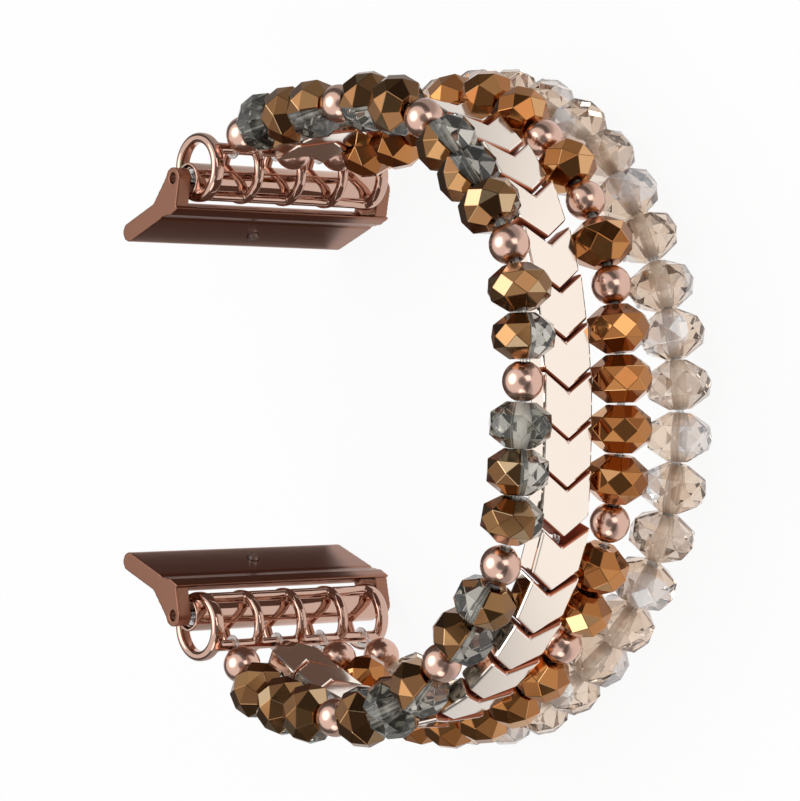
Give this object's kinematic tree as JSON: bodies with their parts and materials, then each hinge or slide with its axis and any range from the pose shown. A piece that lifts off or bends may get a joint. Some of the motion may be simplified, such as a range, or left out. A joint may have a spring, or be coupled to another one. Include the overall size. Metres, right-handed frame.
{
  "type": "watch band",
  "caption": "Elastic bead watch band: strands of faceted glass beads, metal balls and chevron links between two cage connectors on spring-bar adapters.",
  "frame": {"origin": "middle of the watch's back face, which the band's two adapters hold between them", "axes": "+X out of the watch's back into the wrist loop, +Y along the band's width across the watch towards its twelve o'clock end, +Z towards the crown side; the band lies on its other side"},
  "size_m": [0.0616, 0.0708, 0.0286],
  "materials": {
    "smoky_crystal": "faceted smoky grey glass, half coated with a bronze mirror",
    "copper_crystal": "faceted glass coated all over with a copper-bronze mirror",
    "champagne_crystal": "faceted clear champagne glass with a faint pearl coating",
    "gold_ball": "polished rose-gold plating",
    "gold_link": "polished pale rose-gold plating",
    "elastic_cord": "clear elastic cord",
    "connector": "polished rose-gold plating on a cast cage",
    "spring_bar": "bright turned steel",
    "spring_steel": "plain spring wire",
    "adapter": "satin rose-gold anodised",
    "catch": "bright turned steel"
  },
  "bodies": {
    "strand_1": {"smoky_crystals_1": "smoky_crystal", "copper_crystals_1": "copper_crystal", "champagne_crystals_1": "champagne_crystal", "gold_balls_1": "gold_ball", "chevron_links_1": "gold_link", "elastic_cords_1": "elastic_cord"},
    "strand_2": {"smoky_crystals_2": "smoky_crystal", "copper_crystals_2": "copper_crystal", "champagne_crystals_2": "champagne_crystal", "gold_balls_2": "gold_ball", "chevron_links_2": "gold_link", "elastic_cords_2": "elastic_cord"},
    "strand_3": {"smoky_crystals_3": "smoky_crystal", "copper_crystals_3": "copper_crystal", "champagne_crystals_3": "champagne_crystal", "gold_balls_3": "gold_ball", "chevron_links_3": "gold_link", "elastic_cords_3": "elastic_cord"},
    "strand_4": {"smoky_crystals_4": "smoky_crystal", "copper_crystals_4": "copper_crystal", "champagne_crystals_4": "champagne_crystal", "gold_balls_4": "gold_ball", "chevron_links_4": "gold_link", "elastic_cords_4": "elastic_cord"},
    "strand_5": {"smoky_crystals_5": "smoky_crystal", "copper_crystals_5": "copper_crystal", "champagne_crystals_5": "champagne_crystal", "gold_balls_5": "gold_ball", "chevron_links_5": "gold_link", "elastic_cords_5": "elastic_cord"},
    "connector_top": {"connector_top": "connector", "spring_bar_barrel_top": "spring_bar", "spring_bar_spring_top": "spring_steel"},
    "upper_tip_top": {"upper_tip_top": "spring_bar"},
    "lower_tip_top": {"lower_tip_top": "spring_bar"},
    "adapter_top": {"adapter_top": "adapter", "catch_spring_top": "spring_steel", "catch_plug_top": "adapter"},
    "catch_top": {"catch_top": "catch"},
    "connector_bottom": {"connector_bottom": "connector", "spring_bar_barrel_bottom": "spring_bar", "spring_bar_spring_bottom": "spring_steel"},
    "upper_tip_bottom": {"upper_tip_bottom": "spring_bar"},
    "lower_tip_bottom": {"lower_tip_bottom": "spring_bar"},
    "adapter_bottom": {"adapter_bottom": "adapter", "catch_spring_bottom": "spring_steel", "catch_plug_bottom": "adapter"},
    "catch_bottom": {"catch_bottom": "catch"}
  },
  "joints": [
    {"name": "flex_two_to_three", "type": "hinge", "parent": "strand_3", "child": "strand_2", "pos_m": [0.04289, 0.01526, 0], "axis": [0, 0, 1], "range_deg": [-12, 10]},
    {"name": "flex_one_to_two", "type": "hinge", "parent": "strand_2", "child": "strand_1", "pos_m": [0.02376, 0.02957, 0], "axis": [0, 0, 1], "range_deg": [-12, 8]},
    {"name": "flex_three_to_four", "type": "hinge", "parent": "strand_3", "child": "strand_4", "pos_m": [0.04392, -0.01444, 0], "axis": [0, 0, 1], "range_deg": [-10, 12]},
    {"name": "flex_four_to_five", "type": "hinge", "parent": "strand_4", "child": "strand_5", "pos_m": [0.02307, -0.0322, 0], "axis": [0, 0, 1], "range_deg": [-8, 12]},
    {"name": "cord_bar_turn_top", "type": "hinge", "parent": "strand_1", "child": "connector_top", "pos_m": [0.00014, 0.02596, 0], "axis": [0, 0, 1], "range_deg": [-45, 45]},
    {"name": "adapter_turn_top", "type": "hinge", "parent": "connector_top", "child": "adapter_top", "pos_m": [-0.0028, 0.0228, 0], "axis": [0, 0, 1], "range_deg": [-45, 35]},
    {"name": "upper_tip_press_top", "type": "slide", "parent": "connector_top", "child": "upper_tip_top", "axis": [0, 0, -1], "range_m": [0, 0.00118], "stiffness_N_per_m": 300, "springref_m": -0.001, "deforming": ["spring_bar_spring_top"]},
    {"name": "lower_tip_press_top", "type": "slide", "parent": "connector_top", "child": "lower_tip_top", "axis": [0, 0, 1], "range_m": [0, 0.00118], "stiffness_N_per_m": 300, "springref_m": -0.001, "deforming": ["spring_bar_spring_top"]},
    {"name": "catch_press_top", "type": "slide", "parent": "adapter_top", "child": "catch_top", "axis": [-0.3584, 0.9336, 0], "range_m": [0, 0.00045], "stiffness_N_per_m": 300, "springref_m": -0.0005, "deforming": ["catch_spring_top"]},
    {"name": "cord_bar_turn_bottom", "type": "hinge", "parent": "strand_5", "child": "connector_bottom", "pos_m": [0.00014, -0.02596, 0], "axis": [0, 0, 1], "range_deg": [-45, 45]},
    {"name": "adapter_turn_bottom", "type": "hinge", "parent": "connector_bottom", "child": "adapter_bottom", "pos_m": [-0.0028, -0.0228, 0], "axis": [0, 0, 1], "range_deg": [-35, 45]},
    {"name": "upper_tip_press_bottom", "type": "slide", "parent": "connector_bottom", "child": "upper_tip_bottom", "axis": [0, 0, -1], "range_m": [0, 0.00118], "stiffness_N_per_m": 300, "springref_m": -0.001, "deforming": ["spring_bar_spring_bottom"]},
    {"name": "lower_tip_press_bottom", "type": "slide", "parent": "connector_bottom", "child": "lower_tip_bottom", "axis": [0, 0, 1], "range_m": [0, 0.00118], "stiffness_N_per_m": 300, "springref_m": -0.001, "deforming": ["spring_bar_spring_bottom"]},
    {"name": "catch_press_bottom", "type": "slide", "parent": "adapter_bottom", "child": "catch_bottom", "axis": [-0.3584, -0.9336, 0], "range_m": [0, 0.00045], "stiffness_N_per_m": 300, "springref_m": -0.0005, "deforming": ["catch_spring_bottom"]}
  ]
}
